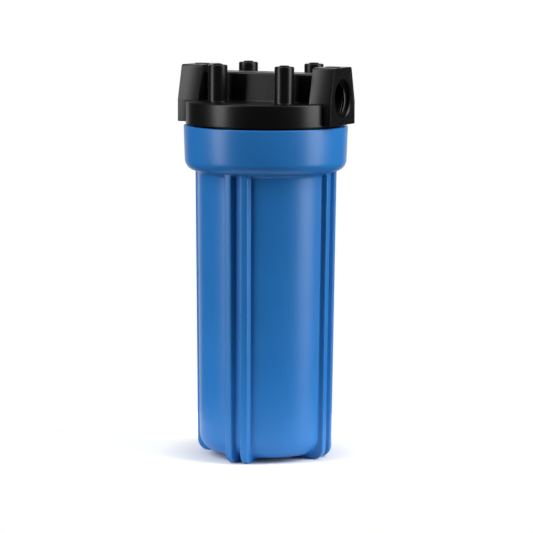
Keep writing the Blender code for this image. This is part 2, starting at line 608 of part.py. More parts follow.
def make_core(plastic):
    low, high = media_ends()
    profile = [(CORE_RADIUS - CORE_WALL, low), (CORE_RADIUS, low), (CORE_RADIUS, high),
               (CORE_RADIUS - CORE_WALL, high)]
    core = add_object("cartridge_core", turned(profile), plastic)
    margin = CAP_RIM + CORE_SLOT_MARGIN
    pitch = (high - low - 2 * margin) / CORE_SLOT_ROWS
    slots = []
    for row in range(CORE_SLOT_ROWS):
        middle = low + margin + pitch * (row + 0.5)
        half = pitch * CORE_SLOT_PART / 2
        for half_turn in range(CORE_SLOTS // 2):
            reach = CORE_RADIUS + OVERCUT
            width = CORE_SLOT_WIDTH / 2
            outline = [(-reach, -width), (reach, -width), (reach, width), (-reach, width)]
            bm = prism(outline, "xy", middle - half, middle + half)
            bmesh.ops.rotate(bm, verts=bm.verts, cent=(0, 0, 0),
                             matrix=Matrix.Rotation(half_turn * 2 * math.pi / CORE_SLOTS, 3, "Z"))
            slots.append(cutter(f"core_slot_{row}_{half_turn}", bm))
    boolean(core, slots, "DIFFERENCE")
    return core


def make_media(fabric):
    """Folded filter sheet: the same zig-zag outside and inside, one shell thickness apart."""
    low, high = media_ends()
    fold_out = CARTRIDGE_RADIUS - CAP_WALL - NET_WALL - 2 * GAP
    fold_in = CORE_RADIUS + GAP + PLEAT_SHELL
    bm = bmesh.new()
    rings = []
    for height in (low, high):
        for offset in (0.0, PLEAT_SHELL):
            ring = []
            for i in range(2 * PLEATS):
                angle = math.pi * i / PLEATS
                radius = (fold_in if i % 2 else fold_out) - offset
                ring.append(bm.verts.new((radius * math.cos(angle), radius * math.sin(angle), height)))
            rings.append(ring)
    outer_low, inner_low, outer_high, inner_high = rings
    for a, b in ((outer_low, outer_high), (outer_high, inner_high), (inner_high, inner_low),
                 (inner_low, outer_low)):
        for i in range(2 * PLEATS):
            j = (i + 1) % (2 * PLEATS)
            bm.faces.new((a[i], a[j], b[j], b[i]))
    return add_object("pleated_media", bm, fabric)


def make_net(plastic):
    low, high = media_ends()
    outer = CARTRIDGE_RADIUS - CAP_WALL - GAP
    profile = [(outer - NET_WALL, low), (outer, low), (outer, high), (outer - NET_WALL, high)]
    return add_object("cartridge_net", turned(profile), plastic)


# ---------------------------------------------------------------- the whole housing
def main():
    clear_scene()
    black = material("black polypropylene", (0.010, 0.010, 0.011), 0.32)
    blue = material("blue polypropylene", (0.035, 0.185, 0.540), 0.38)
    rubber = material("black nitrile rubber", (0.012, 0.012, 0.012), 0.65)
    steel = material("stainless spring wire", (0.60, 0.60, 0.61), 0.25, 1.0)
    white = material("white polypropylene", (0.78, 0.78, 0.76), 0.45)
    fabric = material("white polyester media", (0.82, 0.82, 0.79), 0.90)
    make_head(black)
    make_sump(blue)
    make_oring(rubber)
    make_relief_button(black)
    make_relief_spring(steel)
    make_relief_seal(rubber)
    make_relief_retainer(black)
    make_core(white)
    make_media(fabric)
    make_net(white)
    for name, end in (("top", 1), ("bottom", -1)):
        make_end_cap(f"{name}_end_cap", end, white)
        make_gasket(f"{name}_gasket", end, rubber)


main()
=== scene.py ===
"""Looks of a cartridge filter housing: finished meshes, materials, studio and camera.

Metres, +Z up.  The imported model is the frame: every piece takes its place and its outer sizes
from it, rides on one of its bodies and stands for one of its nodes.
"""
import math

import bmesh
import bpy
from bpy.props import FloatProperty, FloatVectorProperty, IntProperty, PointerProperty
from bpy.types import Operator, Panel, PropertyGroup
from mathutils import Matrix, Vector


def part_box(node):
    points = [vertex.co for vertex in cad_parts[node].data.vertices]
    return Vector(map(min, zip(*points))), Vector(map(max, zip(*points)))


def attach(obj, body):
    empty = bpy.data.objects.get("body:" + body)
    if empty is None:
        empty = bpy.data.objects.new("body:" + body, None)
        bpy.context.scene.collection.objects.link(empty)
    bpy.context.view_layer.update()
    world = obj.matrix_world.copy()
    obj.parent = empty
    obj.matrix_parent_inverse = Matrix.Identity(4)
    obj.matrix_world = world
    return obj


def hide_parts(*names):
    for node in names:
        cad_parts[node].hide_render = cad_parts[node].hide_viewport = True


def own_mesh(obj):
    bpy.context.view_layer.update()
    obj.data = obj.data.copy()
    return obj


bl_info = {
    "name": "Cartridge Filter Housing",
    "version": (1, 0, 0),
    "blender": (4, 5, 0),
    "location": "3D View > Sidebar > Filter Housing",
    "description": "Builds the finished pieces, materials and studio of a cartridge filter housing",
    "category": "Object",
}

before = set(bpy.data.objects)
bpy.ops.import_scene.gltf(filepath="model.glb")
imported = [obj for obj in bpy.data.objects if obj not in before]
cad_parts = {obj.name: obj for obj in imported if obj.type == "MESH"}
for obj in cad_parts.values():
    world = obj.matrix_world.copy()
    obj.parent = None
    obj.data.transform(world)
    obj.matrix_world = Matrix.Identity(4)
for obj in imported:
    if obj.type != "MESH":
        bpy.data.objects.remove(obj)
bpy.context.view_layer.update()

# ---------------------------------------------------------------- sizes read from the frame
MM = 0.001
SUMP_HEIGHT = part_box("sump")[1].z
COLLAR_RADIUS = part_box("sump")[1].x
PORT_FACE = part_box("head")[1].x
POST_RIM_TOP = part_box("head")[1].z
SKIRT_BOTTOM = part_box("head")[0].z
BUTTON_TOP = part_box("relief_button")[1].z
BARB_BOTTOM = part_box("relief_button")[0].z
CARTRIDGE_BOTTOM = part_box("bottom_gasket")[0].z
CARTRIDGE_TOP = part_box("top_gasket")[1].z
CARTRIDGE_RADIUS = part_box("top_end_cap")[1].x
CORE_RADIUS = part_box("cartridge_core")[1].x
NET_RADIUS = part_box("cartridge_net")[1].x
MEDIA_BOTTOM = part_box("pleated_media")[0].z
MEDIA_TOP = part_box("pleated_media")[1].z
FOLD_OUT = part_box("pleated_media")[1].x
GASKET_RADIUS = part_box("top_gasket")[1].x
SEAL_LOW, SEAL_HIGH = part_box("relief_seal")
RETAINER_LOW, RETAINER_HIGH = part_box("relief_retainer")
SPRING_LOW, SPRING_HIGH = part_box("relief_spring")
ORING_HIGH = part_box("sump_oring")[1]

# ---------------------------------------------------------------- sump
WALL = 4.0 * MM
COLLAR_EDGE = 0.9 * MM
COLLAR_UNDER = 9.2 * MM       # rounding under the collar
COLLAR_FOOT_RADIUS = COLLAR_RADIUS - 0.9 * MM
COLLAR_FOOT = SUMP_HEIGHT - 26.5 * MM
BODY_FILLET = 3.0 * MM
BODY_TOP_RADIUS = COLLAR_RADIUS - 11.4 * MM
BODY_FOOT_RADIUS = BODY_TOP_RADIUS - 1.9 * MM
BODY_CORNER = 15.0 * MM
UNDERSIDE = 3.0 * MM
FLOOR = 8.0 * MM
RIB_TIP_TOP_RADIUS = BODY_TOP_RADIUS + 4.2 * MM
RIB_TIP_FOOT_RADIUS = BODY_FOOT_RADIUS + 3.4 * MM
RIB_FOOT_ROUNDING = 9.0 * MM
RIB_INNER_END = 35.7 * MM
RIB_PAIRS = 4
RIB_PAIR_HALF = 6.86          # degrees from the middle of a pair to each rib
CLOCKING = 2.2                # degrees from +X to the middle of the first pair
PART_ROWS = (9, 14, 10, 8)    # rows of points under the collar, down the body, foot, underside
RIB_COLUMNS = (0, 1.4, 2.3, 2.55, 2.8, 3.05, 3.3, 3.65, 4.0, 4.25, 4.5, 4.75, 5.0, 5.4)
# ^ millimetres from a rib's middle, closest together at its default tip and root
COLUMN_STEP = 2.0             # degrees between columns away from the ribs
COLUMN_CLEARANCE = 0.5        # degrees from a rib's last column to the first plain one
THREAD_BORE = COLLAR_RADIUS - 5.7 * MM
INNER_TOP_RADIUS = BODY_TOP_RADIUS - WALL
INNER_FOOT_RADIUS = BODY_FOOT_RADIUS - WALL
ORING_MEAN = INNER_TOP_RADIUS + 2.75 * MM
ORING_SECTION = 3.53 * MM
ORING_GAP = 0.3 * MM
LEDGE = SUMP_HEIGHT - 29.9 * MM
GROOVE_FLOOR = LEDGE - 2.9 * MM
THREAD_PITCH = 6.0 * MM
THREAD_TURNS = 2.0
THREAD_BASE = 2.4 * MM        # width of a thread ridge at its root
THREAD_CREST = 1.2 * MM       # and at its crest
SUMP_THREAD_START = SUMP_HEIGHT - 21.0 * MM
SUMP_THREAD_HEIGHT = 1.8 * MM
HEAD_THREAD_START = SUMP_HEIGHT - 24.0 * MM
HEAD_THREAD_HEIGHT = 1.6 * MM

# ---------------------------------------------------------------- head
THREAD_ROOT = THREAD_BORE - 2.3 * MM
RING_RADIUS = COLLAR_RADIUS - 1.5 * MM
RING_BOTTOM = SUMP_HEIGHT + 1.2 * MM
RING_TOP = RING_BOTTOM + 18.0 * MM
ROOF = RING_TOP - 12.6 * MM
SKIRT_BORE = INNER_TOP_RADIUS + 0.6 * MM
PORT_AXIS = ROOF + 16.0 * MM
PORT_RADIUS = 13.3 * MM
PORT_TAPER = 1 / 32
PORT_DEPTH = 18.0 * MM
PORT_MOUTH = 15.65 * MM
PORT_MOUTH_DEPTH = 3.0 * MM
PORT_THREAD_PITCH = 1.814 * MM
PORT_THREAD_TURNS = 7.5
PORT_THREAD_HEIGHT = 1.0 * MM
CHANNEL = 8.5 * MM
INLET_DROP = 7.0 * MM
INLET_DROP_OFFSET = CARTRIDGE_RADIUS + 8.25 * MM
BOSS_LENGTH = 18.8 * MM
BOSS_HALF = 22.8 * MM
BOSS_TOP_HALF = 16.1 * MM
BOSS_TOP = PORT_AXIS + 24.4 * MM
BOX_HALF = 13.5 * MM
BOX_TOP_HALF = 12.4 * MM
BOX_TOP = PORT_AXIS + 19.3 * MM
POST_RADIUS = 7.7 * MM
POST_X = 29.0 * MM
POST_Y = 27.1 * MM
POST_RIM_HEIGHT = 0.8 * MM
POST_TOP = POST_RIM_TOP - POST_RIM_HEIGHT
POST_RIM_RADIUS = 4.3 * MM
SCREW_RADIUS = 2.75 * MM
SCREW_DEPTH = 22.0 * MM
SEAT_RADIUS = GASKET_RADIUS - 3.6 * MM
SINK = 3.0 * MM               # how far raised parts run into the plate under them
POCKET_RADIUS = 6.0 * MM
POCKET_FLOOR = BOX_TOP - 7.0 * MM
SEAT_DROP = 1.3 * MM
STEM_RADIUS = 1.7 * MM


# ---------------------------------------------------------------- settings a user would change
class HousingSizes(PropertyGroup):
    sides: IntProperty(
        name="Sides", description="Sides of each large turned surface", default=144, min=32, max=256)
    rib_tip: FloatProperty(
        name="Rib tip", description="Half the width of a rib's flat tip",
        default=2.8 * MM, unit="LENGTH", precision=4)
    rib_root: FloatProperty(
        name="Rib root", description="Half the width of a rib where it meets the body",
        default=4.5 * MM, unit="LENGTH", precision=4)
    rib_edge: FloatProperty(
        name="Rib edge", description="Reach of the roundings at a rib's tip and root",
        default=0.40 * MM, unit="LENGTH", precision=4)
    ring_edge: FloatProperty(
        name="Ring edge", description="Rounding of the top edge of the head's ring",
        default=1.3 * MM, unit="LENGTH", precision=4)
    post_edge: FloatProperty(
        name="Post edge", description="Rounding of the top edge of a bracket post",
        default=1.1 * MM, unit="LENGTH", precision=4)
    boss_edge: FloatProperty(
        name="Boss edge", description="Rounding of the top corners of a port boss",
        default=2.0 * MM, unit="LENGTH", precision=4)
    root_fillet: FloatProperty(
        name="Root fillet", description="Fillet where a raised part leaves the head's plate",
        default=0.9 * MM, unit="LENGTH", precision=4)


class HousingColours(PropertyGroup):
    head: FloatVectorProperty(
        name="Head", description="Colour of the black moulded head",
        default=(0.0040, 0.0040, 0.0044), subtype="COLOR", size=3, min=0, max=1)
    sump: FloatVectorProperty(
        name="Sump", description="Colour of the blue moulded sump",
        default=(0.018, 0.155, 0.450), subtype="COLOR", size=3, min=0, max=1)
    rubber: FloatVectorProperty(
        name="Rubber", description="Colour of the seals",
        default=(0.012, 0.012, 0.012), subtype="COLOR", size=3, min=0, max=1)
    cartridge: FloatVectorProperty(
        name="Cartridge", description="Colour of the cartridge's white mouldings",
        default=(0.78, 0.78, 0.75), subtype="COLOR", size=3, min=0, max=1)
    media: FloatVectorProperty(
        name="Media", description="Colour of the pleated media",
        default=(0.82, 0.81, 0.77), subtype="COLOR", size=3, min=0, max=1)


class HousingStudio(PropertyGroup):
    left_power: FloatProperty(
        name="Left light", description="Power of the tall light on the left",
        default=23.0, unit="POWER")
    right_power: FloatProperty(
        name="Right light", description="Power of the tall light on the right",
        default=31.0, unit="POWER")
    top_power: FloatProperty(
        name="Top light", description="Power of the wide light overhead",
        default=7.0, unit="POWER")
    lens: FloatProperty(
        name="Lens", description="Focal length of the camera", default=186.36, unit="CAMERA")


# ---------------------------------------------------------------- section and mesh helpers
def rounded(corners, steps=5):
    """Round the corners of a closed section; each corner is (across, up, radius)."""
    points = []
    for i, (across, up, radius) in enumerate(corners):
        here = Vector((across, up))
        if radius == 0:
            points.append(here)
            continue
        back = (Vector(corners[i - 1][:2]) - here).normalized()
        on = (Vector(corners[(i + 1) % len(corners)][:2]) - here).normalized()
        half = back.angle(on) / 2
        centre = here + (back + on).normalized() * radius / math.sin(half)
        start = here + back * radius / math.tan(half) - centre
        end = here + on * radius / math.tan(half) - centre
        first = math.atan2(start.y, start.x)
        sweep = (math.atan2(end.y, end.x) - first + math.pi) % (2 * math.pi) - math.pi
        for k in range(steps + 1):
            angle = first + sweep * k / steps
            points.append(centre + radius * Vector((math.cos(angle), math.sin(angle))))
    return points


def arc(centre, radius, start, end, steps):
    """Points of a circular arc in the section plane; angles in degrees."""
    angles = [math.radians(start + (end - start) * i / steps) for i in range(steps + 1)]
    return [Vector(centre) + radius * Vector((math.cos(a), math.sin(a))) for a in angles]


def spread(points, count):
    """The same path through an even number of points: count of them, by length."""
    lengths = [(b - a).length for a, b in zip(points, points[1:])]
    total, path = sum(lengths), []
    for k in range(count):
        left, i = total * k / (count - 1), 0
        while i < len(lengths) - 1 and left > lengths[i]:
            left -= lengths[i]
            i += 1
        path.append(points[i].lerp(points[i + 1], min(left / lengths[i], 1.0)))
    return path


def closed(bm):
    """Merge the doubles and turn every face outwards."""
    bmesh.ops.remove_doubles(bm, verts=bm.verts, dist=1e-6)
    bmesh.ops.dissolve_degenerate(bm, edges=bm.edges, dist=1e-7)
    bmesh.ops.recalc_face_normals(bm, faces=bm.faces)
    return bm


def turned(section, sides):
    """Spin a closed section of (radius, height) points about Z."""
    bm = bmesh.new()
    verts = [bm.verts.new((radius, 0, height)) for radius, height in section]
    edges = [bm.edges.new(pair) for pair in zip(verts, verts[1:] + verts[:1])
             if max(pair[0].co.x, pair[1].co.x) > 1e-9]
    bmesh.ops.spin(bm, geom=verts + edges, cent=(0, 0, 0), axis=(0, 0, 1),
                   angle=2 * math.pi, steps=sides, use_merge=True)
    return closed(bm)


def rolled(columns, rows, place):
    """A grid of columns by rows faces, each corner moved to place(column, row)."""
    bm = bmesh.new()
    bmesh.ops.create_grid(bm, x_segments=columns, y_segments=rows, size=1.0)
    for vert in bm.verts:
        column = round((vert.co.x + 1) / 2 * columns)
        row = round((vert.co.y + 1) / 2 * rows)
        vert.co = place(column, row)
    return bm


def swept(steps, section):
    """A closed bar: section(step) gives the corners of the bar at each step along it."""
    rings = [section(step) for step in range(steps + 1)]
    corners = len(rings[0])
    bm = rolled(steps, corners, lambda step, corner: rings[step][corner % corners])
    bmesh.ops.remove_doubles(bm, verts=bm.verts, dist=1e-6)
    bmesh.ops.holes_fill(bm, edges=[edge for edge in bm.edges if edge.is_boundary], sides=0)
    return closed(bm)


def prism(section, axis, start, end):
    """Extrude a section along X (its points are y, z) or along Z (its points are x, y)."""
    bm = bmesh.new()
    along_x = axis == "X"
    verts = [bm.verts.new((start, a, b) if along_x else (a, b, start)) for a, b in section]
    bm.faces.new(verts)
    grown = bmesh.ops.extrude_face_region(bm, geom=bm.faces[:])
    moved = [item for item in grown["geom"] if isinstance(item, bmesh.types.BMVert)]
    step = Vector((end - start, 0, 0)) if along_x else Vector((0, 0, end - start))
    bmesh.ops.translate(bm, verts=moved, vec=step)
    return closed(bm)


def soften(bm, chosen, width, segments=3):
    """Round the chosen edges."""
    edges = [edge for edge in bm.edges if chosen(edge)]
    bmesh.ops.bevel(bm, geom=edges, offset=width, offset_type="OFFSET", affect="EDGES",
                    segments=segments, profile=0.5, material=-1, clamp_overlap=True)
    return bm


def move(bm, x=0.0, y=0.0, z=0.0):
    bmesh.ops.translate(bm, verts=bm.verts, vec=(x, y, z))
    return bm


def lay_along_x(bm, side):
    """Lay a shape made about Z along +X (side 1) or -X (side -1)."""
    bmesh.ops.rotate(bm, verts=bm.verts, cent=(0, 0, 0),
                     matrix=Matrix.Rotation(side * math.pi / 2, 3, "Y"))
    return bm


def rod(radius, start, end, sides):
    return turned([(0, start), (radius, start), (radius, end), (0, end)], sides)


def helix_point(radius, angle, height):
    return Vector((radius * math.cos(angle), radius * math.sin(angle), height))


def screw_ridge(root, height, first, pitch, turns, base, crest, per_turn=64):
    """A screw thread: height outwards, or inwards where it is negative; its ends run out."""
    steps = int(turns * per_turn)
    sink = math.copysign(0.5 * MM, height)

    def section(step):
        angle = 2 * math.pi * step / per_turn
        rise = first + pitch * step / per_turn
        run_out = max(0.08, min(1.0, step / 10, (steps - step) / 10))
        tip = root + height * run_out
        ring = ((root - sink, -base / 2), (tip, -crest / 2), (tip, crest / 2), (root - sink, base / 2))
        return [helix_point(radius, angle, rise + across) for radius, across in ring]

    return swept(steps, section)


def add_object(name, bm):
    mesh = bpy.data.meshes.new(name)
    bm.to_mesh(mesh)
    bm.free()
    obj = bpy.data.objects.new(name, mesh)
    bpy.context.scene.collection.objects.link(obj)
    return obj


def settle(obj):
    """Keep the shape that the object's modifiers give it, and drop them."""
    bpy.context.view_layer.update()
    graph = bpy.context.evaluated_depsgraph_get()
    mesh = bpy.data.meshes.new_from_object(obj.evaluated_get(graph))
    obj.modifiers.clear()
    obj.data = mesh
    mesh.name = obj.name


def combine(obj, operation, shapes):
    """Join the shapes to an object or cut them from it, one Boolean each."""
    tools = [add_object(f"{obj.name}_tool_{i}", bm) for i, bm in enumerate(shapes)]
    for tool in tools:
        modifier = obj.modifiers.new(tool.name, "BOOLEAN")
        modifier.operation = operation
        modifier.solver = "EXACT"
        modifier.object = tool
    settle(obj)
    for tool in tools:
        bpy.data.objects.remove(tool, do_unlink=True)


def finish(obj, node, body, material, angle=32):
    """Smooth a piece, give it its material, and tie it to its body and node."""
    mesh = obj.data
    if not mesh.polygons:
        raise RuntimeError(f"{obj.name} has no faces")
    mesh.shade_smooth()
    mesh.set_sharp_from_angle(angle=math.radians(angle))
    mesh.materials.clear()
    mesh.materials.append(material)
    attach(obj, body)
    if node:
        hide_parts(node)
    return obj


# ---------------------------------------------------------------- shader sockets
class Wire:
    """A shader socket. Sums on it add Math nodes, and node() adds any other kind of node."""

    def __init__(self, tree, socket=None):
        self.tree = tree
        self.socket = socket

    def node(self, kind, settings, sockets, output=0):
        """Add a node: its settings first, then the value or wire of each socket."""
        made = self.tree.nodes.new(kind)
        for name, value in settings.items():
            setattr(made, name, value)
        for key, value in sockets.items():
            if isinstance(value, Wire):
                self.tree.links.new(value.socket, made.inputs[key])
            else:
                made.inputs[key].default_value = value
        return Wire(self.tree, made.outputs[output])

    def sum_of(self, operation, first, second):
        return self.node("ShaderNodeMath", {"operation": operation}, {0: first, 1: second})

    def __add__(self, other):
        return self.sum_of("ADD", self, other)

    def __radd__(self, other):
        return self.sum_of("ADD", other, self)

    def __sub__(self, other):
        return self.sum_of("SUBTRACT", self, other)

    def __rsub__(self, other):
        return self.sum_of("SUBTRACT", other, self)

    def __mul__(self, other):
        return self.sum_of("MULTIPLY", self, other)

    def __rmul__(self, other):
        return self.sum_of("MULTIPLY", other, self)

    def clipped(self):
        return self.node("ShaderNodeClamp", {}, {"Value": self})

    def noise(self, scale, detail=2.0, stretch=(1, 1, 1)):
        """Noise on the piece's own coordinates; a stretch above 1 packs it closer that way."""
        place = self.node("ShaderNodeTexCoord", {}, {}, "Object")
        if tuple(stretch) != (1, 1, 1):
            place = self.node("ShaderNodeMapping", {}, {"Vector": place, "Scale": stretch})
        return self.node("ShaderNodeTexNoise", {}, {"Vector": place, "Scale": scale, "Detail": detail})

    def blend(self, first, second):
        """A colour between two, by this wire's value."""
        return self.node("ShaderNodeMix", {"data_type": "RGBA"}, {0: self, 6: first, 7: second}, 2)


def surface(name, settings, build):
    """A Principled material: settings are plain socket values, build(wire) gives the links."""
    material = bpy.data.materials.get(name)
    if material:
        return material
    material = bpy.data.materials.new(name)
    material.use_nodes = True
    tree = material.node_tree
    shader = tree.nodes["Principled BSDF"]
    for key, value in settings.items():
        shader.inputs[key].default_value = value
    for key, wire in build(Wire(tree)).items():
        tree.links.new(wire.socket, shader.inputs[key])
    return material


def shade(colour, factor):
    return (*[min(channel * factor, 1.0) for channel in colour], 1.0)


def moulded(name, colour, roughness, gloss, grain, scuff_lift):
    """Moulded plastic: a fine eroded grain, slow waviness, uneven gloss and faint rubbed marks."""
    def build(wire):
        cloud = wire.noise(22.0, 3.0)
        fine = wire.noise(2600.0, 2.0)
        slow = wire.noise(45.0, 1.0)
        rubbed = ((wire.noise(260.0, 4.0, (1, 1, 0.18)) - 0.64) * 7.0).clipped()
        tint = cloud.blend(shade(colour, 0.90), shade(colour, 1.10))
        worn = (rubbed * 0.5).blend((0, 0, 0, 1), shade(colour, scuff_lift))
        lit = wire.node("ShaderNodeMix", {"data_type": "RGBA", "blend_type": "ADD"},
                        {0: 1.0, 6: tint, 7: worn}, 2)
        height = fine * grain + slow * 0.6
        return {"Base Color": lit,
                "Roughness": cloud * 0.06 + rubbed * 0.05 + (roughness - 0.03),
                "Normal": wire.node("ShaderNodeBump", {},
                                    {"Strength": 0.35, "Distance": 0.00022, "Height": height})}
    return surface(name, {"IOR": 1.49, "Specular IOR Level": gloss}, build)


def black_plastic():
    return moulded("black moulded plastic", bpy.context.scene.housing_colours.head,
                   0.30, 0.24, 0.16, 0.5)


def blue_plastic():
    return moulded("blue moulded plastic", bpy.context.scene.housing_colours.sump,
                   0.33, 0.30, 0.14, 0.12)


def white_plastic():
    return moulded("white moulded plastic", bpy.context.scene.housing_colours.cartridge,
                   0.42, 0.5, 0.3, 0.05)


def seal_rubber():
    colour = bpy.context.scene.housing_colours.rubber

    def build(wire):
        bloom = wire.noise(60.0, 4.0)
        return {"Base Color": bloom.blend(shade(colour, 0.8), shade(colour, 1.7)),
                "Roughness": bloom * 0.18 + 0.46,
                "Normal": wire.node("ShaderNodeBump", {}, {
                    "Strength": 0.3, "Distance": 0.0001, "Height": wire.noise(1800.0)})}
    return surface("nitrile rubber", {"IOR": 1.52}, build)


def spring_steel():
    def build(wire):
        drawn = wire.noise(900.0, 3.0, (1, 1, 6))
        return {"Base Color": drawn.blend((0.50, 0.50, 0.51, 1), (0.66, 0.66, 0.67, 1)),
                "Roughness": drawn * 0.14 + 0.18}
    return surface("spring wire", {"Metallic": 1.0}, build)


def filter_cloth():
    colour = bpy.context.scene.housing_colours.media

    def build(wire):
        fibre = wire.noise(1500.0, 5.0, (1, 1, 0.35))
        return {"Base Color": fibre.blend(shade(colour, 0.88), shade(colour, 1.04)),
                "Roughness": fibre * 0.1 + 0.84,
                "Normal": wire.node("ShaderNodeBump", {}, {
                    "Strength": 0.6, "Distance": 0.0003, "Height": fibre})}
    return surface("spun polyester media", {}, build)


# ---------------------------------------------------------------- sump
def plain_outside():
    """Outside of the sump between ribs, in parts: under the collar, body, foot, underside."""
    centre = Vector((COLLAR_FOOT_RADIUS - COLLAR_UNDER, COLLAR_FOOT))
    fillet_across = BODY_TOP_RADIUS + BODY_FILLET - centre.x
    drop = math.sqrt((COLLAR_UNDER + BODY_FILLET) ** 2 - fillet_across ** 2)
    meet = math.degrees(math.atan2(-drop, fillet_across))
    leave = -math.degrees(math.acos((RIB_TIP_TOP_RADIUS - centre.x) / COLLAR_UNDER))
    shared = arc(centre, COLLAR_UNDER, 0, leave, 9)
    under = arc(centre, COLLAR_UNDER, leave, meet, 3)
    under += arc(centre + Vector((fillet_across, -drop)), BODY_FILLET, meet + 180, 180, 6)[1:]
    corner = Vector((BODY_FOOT_RADIUS - BODY_CORNER, UNDERSIDE + BODY_CORNER))
    foot = arc(corner, BODY_CORNER, 0, -90, 9)
    inner = [foot[-1], Vector((RIB_INNER_END - 1.0 * MM, UNDERSIDE))]
    return shared, [under, [under[-1], foot[0]], foot, inner]


def rib_outside(shared):
    """The same four parts along a rib's tip, starting where the rib leaves the collar."""
    top = shared[-1]
    slope = (RIB_TIP_TOP_RADIUS - RIB_TIP_FOOT_RADIUS) / top.y
    low = Vector((RIB_TIP_FOOT_RADIUS + slope * RIB_FOOT_ROUNDING, RIB_FOOT_ROUNDING))
    neck = top.lerp(low, 0.025)
    foot = arc((low.x - RIB_FOOT_ROUNDING, RIB_FOOT_ROUNDING), RIB_FOOT_ROUNDING, 0, -90, 9)
    inner = [foot[-1], Vector((RIB_INNER_END + 1.0 * MM, 0)),
             Vector((RIB_INNER_END - 1.0 * MM, UNDERSIDE))]
    return [[top, neck], [neck, low], foot, inner]


def sump_inside():
    """Inside of the sump from the middle of the floor up to the thread bore's top."""
    half_knife, half_seat, half_groove = 0.6 * MM, 1.2 * MM, ORING_SECTION / 2 + ORING_GAP
    spigot = CORE_RADIUS - 4.5 * MM
    inner_corner = BODY_CORNER - WALL
    corners = [(0, FLOOR, 0), (spigot - 2.0 * MM, FLOOR, 0.4 * MM),
               (spigot - 2.0 * MM, FLOOR + 16.0 * MM, 0.4 * MM), (spigot, FLOOR + 16.0 * MM, 0.6 * MM),
               (spigot, FLOOR, 0.5 * MM), (SEAT_RADIUS - half_seat, FLOOR, 0.4 * MM),
               (SEAT_RADIUS - half_knife, FLOOR + 3.9 * MM, 0.2 * MM),
               (SEAT_RADIUS + half_knife, FLOOR + 3.9 * MM, 0.2 * MM),
               (SEAT_RADIUS + half_seat, FLOOR, 0.4 * MM), (INNER_FOOT_RADIUS, FLOOR, inner_corner),
               (INNER_TOP_RADIUS, GROOVE_FLOOR - WALL, 0), (INNER_TOP_RADIUS, LEDGE, 0.2 * MM),
               (ORING_MEAN - half_groove, LEDGE, 0.2 * MM),
               (ORING_MEAN - half_groove, GROOVE_FLOOR, 0.3 * MM),
               (ORING_MEAN + half_groove, GROOVE_FLOOR, 0.3 * MM),
               (ORING_MEAN + half_groove, LEDGE, 0.4 * MM),
               (THREAD_BORE, LEDGE, 0.5 * MM), (THREAD_BORE, SUMP_HEIGHT - 1.0 * MM, 0),
               (THREAD_BORE + 1.0 * MM, SUMP_HEIGHT, 0),
               (COLLAR_RADIUS, SUMP_HEIGHT, COLLAR_EDGE), (COLLAR_FOOT_RADIUS, COLLAR_FOOT, 0),
               (0, 0, 0)]
    return rounded(corners, 4)[:-2]


def rib_planes():
    """Angles of the ribs, in degrees."""
    middles = [CLOCKING + 360 / RIB_PAIRS * pair for pair in range(RIB_PAIRS)]
    return [middle + side * RIB_PAIR_HALF for middle in middles for side in (-1, 1)]


def sump_columns():
    """Angles round the sump, close together across each rib and wider apart between them."""
    across = [math.degrees(offset * MM / BODY_TOP_RADIUS) for offset in RIB_COLUMNS]
    angles = set()
    for plane in rib_planes():
        for offset in across:
            angles |= {round((plane + offset) % 360, 3), round((plane - offset) % 360, 3)}
    near = across[-1] + COLUMN_CLEARANCE
    for step in range(int(360 / COLUMN_STEP)):
        angle = COLUMN_STEP * step
        if all(abs((angle - plane + 180) % 360 - 180) > near for plane in rib_planes()):
            angles.add(angle)
    return sorted(angles)


def flank(sizes, across):
    """How far down a rib's flank a point is: 0 on its tip, 1 on the body, rounded at both."""
    samples = [across + sizes.rib_edge * offset for offset in (-1, -0.5, 0, 0.5, 1)]
    falls = [(sample - sizes.rib_tip) / (sizes.rib_root - sizes.rib_tip) for sample in samples]
    return sum(min(max(fall, 0), 1) for fall in falls) / len(falls)


def sump_mesh(sizes):
    """The ribbed bowl: each row slides from the plain body out to the rib's tip across a rib."""
    shared, plain_parts = plain_outside()
    rib_parts = rib_outside(shared)
    plain, tip = list(shared), list(shared)
    for count, plain_part, rib_part in zip(PART_ROWS, plain_parts, rib_parts):
        plain += spread(plain_part, count)[1:]
        tip += spread(rib_part, count)[1:]
    middle = [Vector((0, UNDERSIDE))]
    inside = sump_inside()
    plain, tip = plain + middle + inside, tip + middle + inside
    columns = sump_columns()

    def place(column, row):
        angle, row = columns[column % len(columns)], row % len(plain)
        away = min(abs((angle - plane + 180) % 360 - 180) for plane in rib_planes())
        across = abs(tip[row].x * math.sin(math.radians(away)))
        point = tip[row].lerp(plain[row], flank(sizes, across))
        return helix_point(point.x, math.radians(angle), point.y)

    return closed(rolled(len(columns), len(plain), place))


class HOUSING_OT_sump(Operator):
    """Build the ribbed sump and its thread"""
    bl_idname = "housing.sump"
    bl_label = "Build Sump"

    def execute(self, context):
        blue = blue_plastic()
        bowl = add_object("sump_body", sump_mesh(context.scene.housing_sizes))
        finish(bowl, "sump", "sump", blue, 38)
        ridge = screw_ridge(THREAD_BORE, -SUMP_THREAD_HEIGHT, SUMP_THREAD_START, THREAD_PITCH,
                            THREAD_TURNS, THREAD_BASE, THREAD_CREST)
        finish(add_object("sump_thread", ridge), None, "sump", blue)
        return {"FINISHED"}


